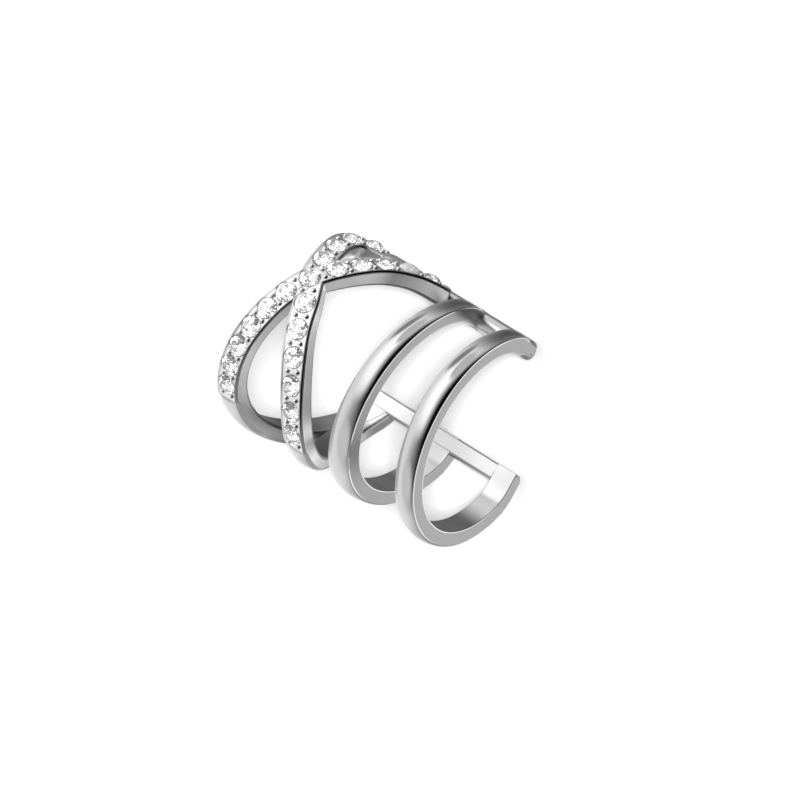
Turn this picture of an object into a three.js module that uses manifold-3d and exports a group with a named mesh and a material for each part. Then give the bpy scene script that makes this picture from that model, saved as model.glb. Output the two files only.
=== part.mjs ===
// An open ear cuff in polished silver: two plain bands and two stone-set strands that cross once,
// all joined by a rail along each free end.
// Millimetres. While it is drawn, the cuff's axis runs along Y, the opening faces +X, and the angle
// round the axis is 0 in the middle of the opening and grows towards +Z. The last group turns it so
// that it lies on its two rails, opening down, with +Z up and the table at Z 0.
import * as THREE from "three";
import { ConvexGeometry } from "three/addons/geometries/ConvexGeometry.js";
import { mergeVertices } from "three/addons/utils/BufferGeometryUtils.js";
import Module from "manifold-3d";

const wasm = await Module();
wasm.setup();

// Driving dimensions of the shell. Near both free ends it runs straight, square to one direction.
const OUTER_RADIUS = 5.6;
const STRAND_RADIUS = 5.72;
const WALL = 0.8;
const UPPER_END = { facing: 47, outside: 5.46, inside: 4.45 };
const LOWER_END = { facing: 317, outside: 5.15, inside: 4.4 };

// The two bands are flat hoops that fan apart away from the upper rail: near is the near face on the
// axis, and fan is how far that face leans along the axis over one radius towards the upper rail.
const BANDS = [
  { near: 0, fan: 0.37, width: 1.15, widthAtFoot: 1.2 },
  { near: 3.79, fan: -0.24, width: 1.1, widthAtFoot: 1.45 },
];
const BAND_SPAN = { from: 50, to: 306.4, steps: 50 };
const DOME = { rise: 0.15, clearOfEnds: 22 };

// The strands' centre lines, as rows of angle and distance along the axis
const STRANDS = {
  outer: {
    width: 1.34,
    sunk: 0,
    route: [
      [53, 6.1], [58, 6.5], [67, 7.4], [78, 8.35], [96, 9.4], [113, 10.4], [126, 10.88], [138, 11.25],
      [162, 11.83], [188, 12.1], [216, 11.95], [245, 11.3], [275, 10.05], [290, 9.3], [304, 8.6],
    ],
  },
  inner: {
    width: 1.42,
    sunk: 0.015,
    route: [
      [66, 7.3], [64.6, 8.4], [65.2, 9.7], [69, 10.7], [78, 11.08], [94, 10.82], [113, 10.3], [125, 9.66],
      [137, 9.22], [163, 8.2], [188, 7.72], [216, 7.8], [245, 8.5], [270, 9.1], [289, 9.05], [304, 8.5],
    ],
  },
};
const STRAND_STEPS = 84;
const STRAND_EDGE = { share: 0.42, drop: 0.05 };

// The rails along the two free ends: a round rod above, a flat bar with a broken corner below
const UPPER_RAIL = { angle: 49.6, radius: 4.965, thick: 0.5, from: 0.33, to: 6.7, sides: 14 };
const LOWER_RAIL = { width: 0.94, middle: -1.01, skin: 0.015, from: 0, to: 9.1, corner: 0.42 };

// The stones: round cuts with a table, in conical seats
const STONE = { radius: 0.53, table: 0.31, kite: 0.42, crown: 0.17, kiteRise: 0.1, girdle: 0.05, pavilion: 0.4 };
const STONE_FACETS = 8;
const SEAT = { gap: 0.045, sunk: 0.02, open: 0.5 };

// Stones are stepped off along the strands from the stone on the crossing.
const CROSSING_ANGLE = 113;
const STONE_RUNS = [
  { name: "outer_upper", strand: "outer", first: -1.45, step: -1.25, count: 5 },
  { name: "outer_lower", strand: "outer", first: 1.38, step: 1.25, count: 6 },
  { name: "inner_upper", strand: "inner", first: -1.45, step: -1.25, count: 4 },
  { name: "inner_lower", strand: "inner", first: 1.4, step: 1.42, count: 6 },
];

// The beads of metal raised between the stones to hold them, in pairs
const BEAD = { radius: 0.15, across: 0.3, sunk: 0.05 };

// The turn about its own axis that brings both rails down on to the table
const REST_TURN = 86.23;

const SILVER = new THREE.MeshStandardMaterial({ color: 0xc9cbcd, metalness: 1, roughness: 0.16 });
const CLEAR = new THREE.MeshStandardMaterial({ color: 0xf4f6f8, metalness: 0, roughness: 0.04 });

const radians = THREE.MathUtils.degToRad;

// The angle between two directions round the axis, 0 to 180
function angleBetween(a, b) {
  return Math.abs(THREE.MathUtils.euclideanModulo(a - b + 180, 360) - 180);
}

// The round radius, or the straight flat of a free end where that lies further in
function flattened(round, angle, facing, flat) {
  const off = angleBetween(angle, facing);
  return off < 60 ? Math.min(round, flat / Math.cos(radians(off))) : round;
}

function outerRadius(angle, round) {
  const upper = flattened(round, angle, UPPER_END.facing, UPPER_END.outside);
  return flattened(upper, angle, LOWER_END.facing, LOWER_END.outside);
}

function innerRadius(angle) {
  const upper = flattened(OUTER_RADIUS - WALL, angle, UPPER_END.facing, UPPER_END.inside);
  return flattened(upper, angle, LOWER_END.facing, LOWER_END.inside);
}

function onShell(radius, angle, along) {
  return new THREE.Vector3(radius * Math.cos(radians(angle)), along, radius * Math.sin(radians(angle)));
}

// A closed tube through equal rings of points, with flat ends
function skin(rings) {
  const size = rings[0].length;
  const positions = rings.flat().flatMap((p) => [p.x, p.y, p.z]);
  const index = [];
  for (let i = 0; i + 1 < rings.length; i++) {
    for (let j = 0; j < size; j++) {
      const a = i * size + j;
      const b = i * size + ((j + 1) % size);
      index.push(a, b, a + size, b, b + size, a + size);
    }
  }
  const last = (rings.length - 1) * size;
  for (let j = 1; j + 1 < size; j++) {
    index.push(0, j + 1, j, last, last + j, last + j + 1);
  }
  const geometry = new THREE.BufferGeometry();
  geometry.setAttribute("position", new THREE.Float32BufferAttribute(positions, 3));
  return geometry.setIndex(index);
}

function solid(geometry) {
  const bare = geometry.clone();
  bare.deleteAttribute("normal");
  bare.deleteAttribute("uv");
  const merged = mergeVertices(bare, 1e-5);
  const vertProperties = new Float32Array(merged.attributes.position.array);
  const triVerts = new Uint32Array(merged.index.array);
  const made = new wasm.Manifold(new wasm.Mesh({ numProp: 3, vertProperties, triVerts }));
  if (made.volume() < 0) throw new Error("a piece is inside out");
  return made;
}

function geometryOf(manifold) {
  const mesh = manifold.getMesh();
  const geometry = new THREE.BufferGeometry();
  geometry.setAttribute("position", new THREE.BufferAttribute(mesh.vertProperties, 3));
  geometry.setIndex(new THREE.BufferAttribute(mesh.triVerts, 1));
  geometry.computeVertexNormals();
  return geometry;
}

// A plain band: flat sides, a plain inside, and a domed outside that dies away at the free ends
function bandSolid(band) {
  const { from, to, steps } = BAND_SPAN;
  const domed = [-0.5, -0.3, -0.1, 0.1, 0.3, 0.5];
  const rings = [];
  for (let i = 0; i <= steps; i++) {
    const angle = THREE.MathUtils.lerp(from, to, i / steps);
    const foot = THREE.MathUtils.smoothstep(angle, 90, 250);
    const width = THREE.MathUtils.lerp(band.width, band.widthAtFoot, foot);
    const nearestEnd = Math.min(angle - from, to - angle);
    const rise = DOME.rise * THREE.MathUtils.smoothstep(nearestEnd, 0, DOME.clearOfEnds);
    const at = (radius, share) => {
      const lean = (band.fan * radius * Math.cos(radians(angle - UPPER_END.facing))) / OUTER_RADIUS;
      return onShell(radius, angle, band.near + lean + share * width);
    };
    const outside = domed.map((t) => at(outerRadius(angle, OUTER_RADIUS) + rise * (1 - 4 * t * t), t + 0.5));
    rings.push([...outside, at(innerRadius(angle), 1), at(innerRadius(angle), 0)]);
  }
  return solid(skin(rings));
}

// A strand's centre line on the unrolled shell: x is the length round it, y the distance along the axis
function unrolledRoute(strand) {
  const points = strand.route.map(
    ([angle, along]) => new THREE.Vector3(radians(angle) * STRAND_RADIUS, along, 0),
  );
  const curve = new THREE.CatmullRomCurve3(points);
  curve.arcLengthDivisions = 600;
  return curve;
}

// A point of the unrolled shell, moved squarely across its route
function besideRoute(curve, share, across) {
  const point = curve.getPointAt(share);
  const tangent = curve.getTangentAt(share);
  const x = point.x - across * tangent.y;
  return { angle: THREE.MathUtils.radToDeg(x / STRAND_RADIUS), along: point.y + across * tangent.x };
}

// A strand: flat on its face with softened edges, square at its sides, and plain inside
function strandSolid(strand) {
  const curve = unrolledRoute(strand);
  const rings = [];
  for (let i = 0; i <= STRAND_STEPS; i++) {
    const share = i / STRAND_STEPS;
    const at = (across, inside) => {
      const { angle, along } = besideRoute(curve, share, across * strand.width);
      if (inside) return onShell(innerRadius(angle) + strand.sunk, angle, along);
      const drop = Math.abs(across) > STRAND_EDGE.share ? STRAND_EDGE.drop : 0;
      return onShell(outerRadius(angle, STRAND_RADIUS) - strand.sunk - drop, angle, along);
    };
    const face = [-0.5, -STRAND_EDGE.share, 0, STRAND_EDGE.share, 0.5].map((across) => at(across, false));
    rings.push([...face, at(0.5, true), at(-0.5, true)]);
  }
  return solid(skin(rings));
}

function upperRailSolid() {
  const { angle, radius, thick, from, to, sides } = UPPER_RAIL;
  const middle = onShell(radius, angle, (from + to) / 2);
  const rod = new THREE.CylinderGeometry(thick, thick, to - from, sides);
  return solid(rod.translate(middle.x, middle.y, middle.z));
}

function lowerRailSolid() {
  const { width, middle, skin: proud, from, to, corner } = LOWER_RAIL;
  const low = LOWER_END.inside - proud;
  const high = LOWER_END.outside + proud;
  const free = middle + width / 2;
  const outline = new THREE.Shape();
  outline.moveTo(low, free - width);
  outline.lineTo(high, free - width);
  outline.lineTo(high, free - corner);
  outline.lineTo(high - corner / 3, free - corner / 3);
  outline.lineTo(high - corner, free);
  outline.lineTo(low, free);
  const bar = new THREE.ExtrudeGeometry(outline, { depth: to - from, bevelEnabled: false });
  return solid(bar.rotateX(Math.PI / 2).translate(0, to, 0).rotateY(radians(-LOWER_END.facing)));
}

// The share of a strand's length at which it passes the crossing
function crossingShare(curve) {
  let low = 0.1;
  let high = 0.9;
  for (let i = 0; i < 40; i++) {
    const middle = (low + high) / 2;
    if (curve.getPointAt(middle).x < radians(CROSSING_ANGLE) * STRAND_RADIUS) low = middle;
    else high = middle;
  }
  return low;
}

// A frame on a strand's face, some way along from the crossing and across: z points out of the shell
function placeOnStrand(strandName, distance, across, depth) {
  const curve = unrolledRoute(STRANDS[strandName]);
  const share = crossingShare(curve) + distance / curve.getLength();
  const { angle, along } = besideRoute(curve, share, across);
  const tangent = curve.getTangentAt(share);
  const out = onShell(1, angle, 0);
  const round = onShell(1, angle + 90, 0);
  const ahead = round.multiplyScalar(tangent.x).add(new THREE.Vector3(0, tangent.y, 0)).normalize();
  const side = new THREE.Vector3().crossVectors(out, ahead);
  const place = new THREE.Matrix4().makeBasis(ahead, side, out);
  return place.setPosition(onShell(outerRadius(angle, STRAND_RADIUS) - depth, angle, along));
}

// Every stone's name and place, the crossing's first
function stonePlaces() {
  const places = [{ name: "stone_crossing", place: placeOnStrand("outer", 0, 0, SEAT.sunk) }];
  for (const run of STONE_RUNS) {
    for (let i = 0; i < run.count; i++) {
      const distance = run.first + i * run.step;
      const name = "stone_" + run.name + "_" + (i + 1);
      places.push({ name, place: placeOnStrand(run.strand, distance, 0, SEAT.sunk) });
    }
  }
  return places;
}

// Two beads before each stone of a run, and two after the last
function beadPlaces() {
  const places = [];
  for (const run of STONE_RUNS) {
    for (let i = 0; i <= run.count; i++) {
      const distance = i === 0 ? run.first / 2 : run.first + (i - 0.5) * run.step;
      for (const across of [-BEAD.across, BEAD.across]) {
        places.push(placeOnStrand(run.strand, distance, across, BEAD.sunk));
      }
    }
  }
  return places;
}

function circlePoints(radius, height, count, turn) {
  return Array.from({ length: count }, (_, i) => {
    const angle = ((i + turn) / count) * 2 * Math.PI;
    return new THREE.Vector3(radius * Math.cos(angle), radius * Math.sin(angle), height);
  });
}

// A round brilliant with its girdle's top at z 0: table, star, kite and girdle facets, and a cone below
function stoneGeometry() {
  return new ConvexGeometry([
    ...circlePoints(STONE.table, STONE.crown, STONE_FACETS, 0),
    ...circlePoints(STONE.kite, STONE.kiteRise, STONE_FACETS, 0.5),
    ...circlePoints(STONE.radius, 0, 2 * STONE_FACETS, 0),
    ...circlePoints(STONE.radius, -STONE.girdle, 2 * STONE_FACETS, 0),
    new THREE.Vector3(0, 0, -STONE.girdle - STONE.pavilion),
  ]);
}

// What is cut away for a stone: its cone and girdle with the gap, open to the outside
function seatGeometry() {
  const mouth = STONE.radius + SEAT.gap;
  return new ConvexGeometry([
    ...circlePoints(mouth, SEAT.open, 2 * STONE_FACETS, 0),
    ...circlePoints(mouth, -STONE.girdle, 2 * STONE_FACETS, 0),
    new THREE.Vector3(0, 0, -STONE.girdle - STONE.pavilion - 2 * SEAT.gap),
  ]);
}

function frameSolid(stones) {
  const bead = solid(new THREE.IcosahedronGeometry(BEAD.radius, 1));
  const seat = solid(seatGeometry());
  const bars = [...BANDS.map(bandSolid), ...Object.values(STRANDS).map(strandSolid)];
  const rails = [upperRailSolid(), lowerRailSolid()];
  const beads = beadPlaces().map((place) => bead.transform(place.elements));
  const metal = [...bars, ...rails, ...beads].reduce((joined, piece) => joined.add(piece));
  return stones.reduce((left, stone) => left.subtract(seat.transform(stone.place.elements)), metal);
}

const stones = stonePlaces();
const drawn = new THREE.Group();

const frame = new THREE.Mesh(geometryOf(frameSolid(stones)), SILVER);
frame.name = "cuff_frame";
drawn.add(frame);

for (const { name, place } of stones) {
  const stone = new THREE.Mesh(stoneGeometry(), CLEAR);
  stone.name = name;
  stone.applyMatrix4(place);
  drawn.add(stone);
}

// Turned with its opening down, level on both rails, and centred over the origin
drawn.rotation.y = radians(REST_TURN);
drawn.updateMatrixWorld(true);
const box = new THREE.Box3().setFromObject(drawn, true);
const middle = box.getCenter(new THREE.Vector3());
drawn.position.set(-middle.x, -middle.y, -box.min.z);

const cuff = new THREE.Group();
cuff.add(drawn);

export default cuff;
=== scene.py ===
"""An open ear cuff in polished silver, lying on the two rails along its free ends.

The cuff is worked out in millimetres about its own axis: x points to the opening, y runs along the
axis away from the front band, and the angle round the axis is 0 at the opening and 90 at z. Every
piece is then turned on to the table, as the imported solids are, and made a mesh in metres.
"""

import logging
import math
from dataclasses import dataclass, field
from enum import Enum

import bpy
import numpy as np
from mathutils import Matrix, Vector


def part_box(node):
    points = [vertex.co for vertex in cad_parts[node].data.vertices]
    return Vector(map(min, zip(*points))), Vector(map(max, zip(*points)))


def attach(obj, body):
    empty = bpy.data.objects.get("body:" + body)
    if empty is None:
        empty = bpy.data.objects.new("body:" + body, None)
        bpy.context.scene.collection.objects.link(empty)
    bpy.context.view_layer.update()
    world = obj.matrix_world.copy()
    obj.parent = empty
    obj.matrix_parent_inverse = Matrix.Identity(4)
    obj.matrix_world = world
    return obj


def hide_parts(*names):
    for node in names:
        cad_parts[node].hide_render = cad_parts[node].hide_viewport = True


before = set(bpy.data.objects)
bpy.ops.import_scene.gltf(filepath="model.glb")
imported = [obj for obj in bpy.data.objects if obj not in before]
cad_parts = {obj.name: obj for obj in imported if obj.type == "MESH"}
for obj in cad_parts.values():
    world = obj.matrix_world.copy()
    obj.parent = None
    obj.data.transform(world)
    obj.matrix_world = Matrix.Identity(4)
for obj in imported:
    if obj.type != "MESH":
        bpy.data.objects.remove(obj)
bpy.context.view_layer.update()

LOG = logging.getLogger("ear_cuff")
MILLIMETRE = 0.001
ROOT = "root"
METAL_NODE = "cuff_frame"

# The silver's finish is one number over the surface, and what lies between two of these is mixed. Besides
# the roughness, it paints light and shade into the colour: satin is painted darker, frosted is painted
# nearly white, and below polished it goes to a painted dark shade along some edges.
PAINTED_SHADE, POLISHED, SATIN_PAINTED_DARKER, FROSTED_PAINTED_LIGHTER = -1.0, 0.0, 1.0, 2.0
# The mesh attribute that carries the finish, and with it the painted light and shade.
FINISH_AND_PAINTED_LIGHT_ATTRIBUTE = "finish"


class Slot(Enum):
    """The record's material slots."""

    SILVER = "silver"
    STONE = "stone"


def smoothstep(x: np.ndarray, low: float, high: float) -> np.ndarray:
    """A smooth rise from 0 at low to 1 at high: 3 u squared less 2 u cubed."""
    u = np.clip((np.asarray(x, float) - low) / (high - low), 0.0, 1.0)
    return u * u * (3.0 - 2.0 * u)


def soft_least(a: np.ndarray, b: np.ndarray, soft: float) -> np.ndarray:
    """The lesser of two lengths, with the crease between them rounded over.

    Args:
        a: the first length.
        b: the second length.
        soft: how far apart the lengths may be where the rounding starts.

    Returns:
        The lesser length, less a quarter of soft where both are equal.
    """
    overlap = np.clip(soft - np.abs(a - b), 0.0, None) / soft
    return np.minimum(a, b) - overlap * overlap * soft * 0.25


def on_shell(radius: np.ndarray, angle: np.ndarray, along: np.ndarray) -> np.ndarray:
    """The point at that radius, at that angle in degrees round the axis, and so far along it."""
    turn = np.radians(angle)
    return np.stack(np.broadcast_arrays(radius * np.cos(turn), along, radius * np.sin(turn)), axis=-1)


@dataclass(frozen=True)
class Shell:
    """The round wall that bands and strands are cut from, straightened towards its free ends."""

    radius: float = 5.6
    strand_radius: float = 5.72
    wall: float = 0.8
    upper_facing: float = 47.0
    upper_outside: float = 5.46
    upper_inside: float = 4.45
    lower_facing: float = 317.0
    lower_outside: float = 5.15
    lower_inside: float = 4.4
    soft: float = 0.22

    def _straightened(
        self, round_radius: np.ndarray, angle: np.ndarray, facing: float, flat: float
    ) -> np.ndarray:
        """A radius that is round, but for a flat: flat over the cosine of the angle from its facing.

        Args:
            round_radius: the radius at each angle where the wall is round.
            angle: the angles, in degrees.
            facing: the angle that the flat faces.
            flat: the flat's distance from the axis.

        Returns:
            The radius at each angle.
        """
        off = np.abs((np.asarray(angle, float) - facing + 180.0) % 360.0 - 180.0)
        straight = flat / np.cos(np.radians(np.minimum(off, 60.0)))
        return soft_least(round_radius, straight, self.soft)

    def outside(self, angle: np.ndarray, round_radius: float) -> np.ndarray:
        """The outer radius at each angle.

        Args:
            angle: the angles, in degrees.
            round_radius: the radius where the wall is round.

        Returns:
            The radius, less where the wall is straightened.
        """
        plain = np.full(np.shape(angle), round_radius)
        upper = self._straightened(plain, angle, self.upper_facing, self.upper_outside)
        return self._straightened(upper, angle, self.lower_facing, self.lower_outside)

    def inside(self, angle: np.ndarray) -> np.ndarray:
        """The inner radius at each angle.

        Args:
            angle: the angles, in degrees.

        Returns:
            The radius of the bore, less where the wall is straightened.
        """
        bore = np.full(np.shape(angle), self.radius - self.wall)
        upper = self._straightened(bore, angle, self.upper_facing, self.upper_inside)
        return self._straightened(upper, angle, self.lower_facing, self.lower_inside)


@dataclass(frozen=True)
class RestPose:
    """How the cuff lies: turned about its axis on to both rails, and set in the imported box."""

    turn: float = 86.23
    rod_angle: float = 49.6
    rod_radius: float = 4.965
    rod_half: float = 0.5
    front_lean: float = 0.37
    widest: float = 5.72

    def matrix(self) -> Matrix:
        """The cuff's own frame, in millimetres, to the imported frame, in metres.

        Returns:
            A turn about Y, then the shift that brings the lower side of the rod to the table, the
            leaning front face to the box's near end, and the strands' radius to its left side.
        """
        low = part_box(METAL_NODE)[0]
        turned = Matrix.Rotation(math.radians(self.turn), 4, "Y")
        rod = on_shell(self.rod_radius, self.rod_angle, 0.0)
        rod_height = (turned @ Vector(rod.tolist())).z
        shift = Vector(
            (
                low[0] + self.widest * MILLIMETRE,
                low[1] + self.front_lean * MILLIMETRE,
                low[2] + (self.rod_half - rod_height) * MILLIMETRE,
            )
        )
        return Matrix.Translation(shift) @ Matrix.Diagonal((MILLIMETRE,) * 3 + (1.0,)) @ turned


class MeshDraft:
    """Vertices and faces gathered from grids, with the finish at each vertex."""

    def __init__(self) -> None:
        """Starts with nothing in it."""
        self.points: list[np.ndarray] = []
        self.finish: list[np.ndarray] = []
        self.faces: list[list[int]] = []
        self.count = 0

    def add_points(self, points: np.ndarray, finish: np.ndarray | float = POLISHED) -> int:
        """Adds points and gives the index of the first.

        Args:
            points: an array whose last axis is x, y, z.
            finish: the finish at each point, from the painted dark shade to frosted and painted nearly
                white; it sets the roughness and paints light and shade into the colour.

        Returns:
            The index of the first new point.
        """
        flat = np.asarray(points, float).reshape(-1, 3)
        first = self.count
        self.points.append(flat)
        self.finish.append(np.broadcast_to(finish, np.shape(points)[:-1]).reshape(-1).astype(float))
        self.count += len(flat)
        return first

    def add_grid(
        self, points: np.ndarray, finish: np.ndarray | float = POLISHED, ring: bool = True, caps: bool = True
    ) -> None:
        """Adds a grid of points joined by quads.

        Args:
            points: rows by columns by 3, the columns counted so that faces point outwards.
            finish: the finish, one for all points or one for each.
            ring: whether the last column joins the first.
            caps: whether the first and last rows are closed by one face each.
        """
        rows, columns = points.shape[:2]
        first = self.add_points(points, finish)
        index = first + np.arange(rows * columns).reshape(rows, columns)
        if ring:
            index = np.concatenate([index, index[:, :1]], axis=1)
        quads = np.stack([index[:-1, :-1], index[:-1, 1:], index[1:, 1:], index[1:, :-1]], axis=-1)
        self.faces.extend(quads.reshape(-1, 4).tolist())
        if caps and ring:
            self.faces.append(index[0, :-1][::-1].tolist())
            self.faces.append(index[-1, :-1].tolist())

    def add_faces(self, first: int, faces: np.ndarray) -> None:
        """Adds faces whose corners count from first."""
        self.faces.extend((np.asarray(faces) + first).tolist())

    def make(self, name: str, place: Matrix, smooth: bool = True) -> bpy.types.Object:
        """Makes the object, at the origin with its place in its mesh.

        Args:
            name: the piece's name.
            place: the matrix from the draft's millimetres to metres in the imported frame.
            smooth: whether its faces are shaded smooth.

        Returns:
            The new object, linked into the scene.
        """
        points = np.concatenate(self.points)
        turned = points @ np.array(place.to_3x3()).T + np.array(place.translation)
        mesh = bpy.data.meshes.new(name)
        mesh.from_pydata(turned.tolist(), [], self.faces)
        mesh.polygons.foreach_set("use_smooth", np.full(len(mesh.polygons), smooth))
        finish = mesh.attributes.new(FINISH_AND_PAINTED_LIGHT_ATTRIBUTE, "FLOAT", "POINT")
        finish.data.foreach_set("value", np.concatenate(self.finish))
        mesh.update()
        piece = bpy.data.objects.new(name, mesh)
        bpy.context.scene.collection.objects.link(piece)
        LOG.info("%s: %d faces", name, len(mesh.polygons))
        return piece


@dataclass(frozen=True)
class PolishedSilver:
    """Rhodium-plated silver: mirror polished, fine satin painted darker, frosted and painted nearly white,
    or a painted dark shade along some edges.
    """

    polished: tuple[float, float, float] = (0.6, 0.6, 0.605)
    # Satin is painted darker than polished, standing in for the shade on the satin faces.
    satin: tuple[float, float, float] = (0.29, 0.29, 0.293)
    # Frosted is painted nearly white, standing in for light on the frosted parts.
    frosted: tuple[float, float, float] = (0.95, 0.95, 0.955)
    # A painted dark shade for the dark lines along some edges.
    painted_shade: tuple[float, float, float] = (0.03, 0.03, 0.031)
    polished_roughness: float = 0.03
    satin_roughness: float = 0.32
    frosted_roughness: float = 0.3
    unevenness: float = 0.03
    grain_scale: float = 9000.0
    grain_depth: float = 0.0000015

    def material(self) -> bpy.types.Material:
        """Makes the material: colour and roughness follow the mesh's finish, with a fine grain.

        Returns:
            The finished material.
        """
        made = bpy.data.materials.new("polished_silver")
        made.use_nodes = True
        nodes, links = made.node_tree.nodes, made.node_tree.links
        shader = nodes["Principled BSDF"]
        shader.inputs["Metallic"].default_value = 1.0
        given = nodes.new("ShaderNodeAttribute")
        given.attribute_name = FINISH_AND_PAINTED_LIGHT_ATTRIBUTE
        finish = nodes.new("ShaderNodeGroup")
        finish.node_tree = metal_finish_group()
        links.new(given.outputs["Fac"], finish.inputs["Finish"])
        for label, value in (
            ("Polished Color", (*self.polished, 1.0)),
            ("Satin Color", (*self.satin, 1.0)),
            ("Frosted Color", (*self.frosted, 1.0)),
            ("Dark Color", (*self.painted_shade, 1.0)),
            ("Polished Roughness", self.polished_roughness),
            ("Satin Roughness", self.satin_roughness),
            ("Frosted Roughness", self.frosted_roughness),
            ("Grain Scale", self.grain_scale),
            ("Unevenness", self.unevenness),
        ):
            finish.inputs[label].default_value = value
        bump = nodes.new("ShaderNodeBump")
        bump.inputs["Distance"].default_value = self.grain_depth
        links.new(finish.outputs["Color"], shader.inputs["Base Color"])
        links.new(finish.outputs["Roughness"], shader.inputs["Roughness"])
        links.new(finish.outputs["Grain"], bump.inputs["Height"])
        links.new(bump.outputs["Normal"], shader.inputs["Normal"])
        return made


@dataclass(frozen=True)
class ClearStone:
    """A clear round brilliant of cubic zirconia."""

    color: tuple[float, float, float] = (0.985, 0.988, 0.992)
    cloud_color: tuple[float, float, float] = (0.94, 0.945, 0.95)
    cloud_scale: float = 2500.0
    refraction: float = 2.1
    clarity: float = 0.97
    roughness: float = 0.0

    def material(self) -> bpy.types.Material:
        """Makes the material: clear glass of a high refraction, with the faintest clouding.

        Returns:
            The finished material.
        """
        made = bpy.data.materials.new("clear_stone")
        made.use_nodes = True
        nodes, links = made.node_tree.nodes, made.node_tree.links
        shader = nodes["Principled BSDF"]
        shader.inputs["Transmission Weight"].default_value = self.clarity
        shader.inputs["IOR"].default_value = self.refraction
        shader.inputs["Roughness"].default_value = self.roughness
        place = nodes.new("ShaderNodeTexCoord")
        cloud = nodes.new("ShaderNodeTexNoise")
        cloud.inputs["Scale"].default_value = self.cloud_scale
        links.new(place.outputs["Object"], cloud.inputs["Vector"])
        tint = nodes.new("ShaderNodeMix")
        tint.data_type = "RGBA"
        tint.inputs["A"].default_value = (*self.color, 1.0)
        tint.inputs["B"].default_value = (*self.cloud_color, 1.0)
        links.new(cloud.outputs["Fac"], tint.inputs["Factor"])
        links.new(tint.outputs["Result"], shader.inputs["Base Color"])
        return made


def mixed(
    tree: bpy.types.NodeTree,
    factor: bpy.types.NodeSocket,
    low: bpy.types.NodeSocket,
    high: bpy.types.NodeSocket,
    is_color: bool = False,
) -> bpy.types.NodeSocket:
    """Adds a mix of two sockets: low where the factor is 0 and high where it is 1.

    Args:
        tree: the tree that gets the node.
        factor: the socket that says how much of high there is.
        low: the first value.
        high: the second value.
        is_color: whether the values are colours.

    Returns:
        The mix's result.
    """
    mix = tree.nodes.new("ShaderNodeMix")
    mix.data_type = "RGBA" if is_color else "FLOAT"
    for label, socket in (("Factor", factor), ("A", low), ("B", high)):
        tree.links.new(socket, mix.inputs[label])
    return mix.outputs["Result"]


def worked_out(
    tree: bpy.types.NodeTree, operation: str, *values: bpy.types.NodeSocket | float
) -> bpy.types.NodeSocket:
    """Adds a sum of numbers and sockets.

    Args:
        tree: the tree that gets the node.
        operation: the Math node's operation.
        values: its inputs in order, each a socket or a number.

    Returns:
        The sum's result.
    """
    math_node = tree.nodes.new("ShaderNodeMath")
    math_node.operation = operation
    for slot, value in zip(math_node.inputs, values):
        if isinstance(value, float):
            slot.default_value = value
        else:
            tree.links.new(value, slot)
    return math_node.outputs["Value"]


def metal_finish_group() -> bpy.types.NodeTree:
    """The node group that turns the finish into a colour, a roughness and a fine grain.

    A mix holds its factor between 0 and 1, so the finish itself goes from polished to satin, painted darker,
    the finish less one from satin to frosted, painted nearly white, and the finish turned negative from
    polished to a painted dark shade.

    Returns:
        The group, built once. Its outputs are a colour, a roughness and a height for the grain.
    """
    name = "metal_finish"
    if name in bpy.data.node_groups:
        return bpy.data.node_groups[name]
    group = bpy.data.node_groups.new(name, "ShaderNodeTree")
    number, color = "NodeSocketFloat", "NodeSocketColor"
    for in_out, label, kind in (
        ("INPUT", "Finish", number),
        ("INPUT", "Polished Color", color),
        ("INPUT", "Satin Color", color),
        ("INPUT", "Frosted Color", color),
        ("INPUT", "Dark Color", color),
        ("INPUT", "Polished Roughness", number),
        ("INPUT", "Satin Roughness", number),
        ("INPUT", "Frosted Roughness", number),
        ("INPUT", "Grain Scale", number),
        ("INPUT", "Unevenness", number),
        ("OUTPUT", "Color", color),
        ("OUTPUT", "Roughness", number),
        ("OUTPUT", "Grain", number),
    ):
        group.interface.new_socket(name=label, in_out=in_out, socket_type=kind)
    given = group.nodes.new("NodeGroupInput").outputs
    result = group.nodes.new("NodeGroupOutput").inputs
    finish = given["Finish"]
    past_satin = worked_out(group, "SUBTRACT", finish, SATIN_PAINTED_DARKER)
    below_polished = worked_out(group, "MULTIPLY", finish, PAINTED_SHADE)
    # The satin colour is painted darker, and the frosted colour nearly white.
    light = mixed(group, finish, given["Polished Color"], given["Satin Color"], is_color=True)
    light = mixed(group, past_satin, light, given["Frosted Color"], is_color=True)
    # Below polished the colour is mixed towards the painted dark shade.
    shade = mixed(group, below_polished, light, given["Dark Color"], is_color=True)
    rough = mixed(group, finish, given["Polished Roughness"], given["Satin Roughness"])
    rough = mixed(group, past_satin, rough, given["Frosted Roughness"])
    grain = group.nodes.new("ShaderNodeTexNoise")
    grain.inputs["Detail"].default_value = 2.0
    group.links.new(group.nodes.new("ShaderNodeTexCoord").outputs["Object"], grain.inputs["Vector"])
    group.links.new(given["Grain Scale"], grain.inputs["Scale"])
    uneven = worked_out(group, "MULTIPLY_ADD", grain.outputs["Fac"], given["Unevenness"], rough)
    height = worked_out(group, "MULTIPLY", grain.outputs["Fac"], finish)
    group.links.new(shade, result["Color"])
    group.links.new(uneven, result["Roughness"])
    group.links.new(height, result["Grain"])
    return group


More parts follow.
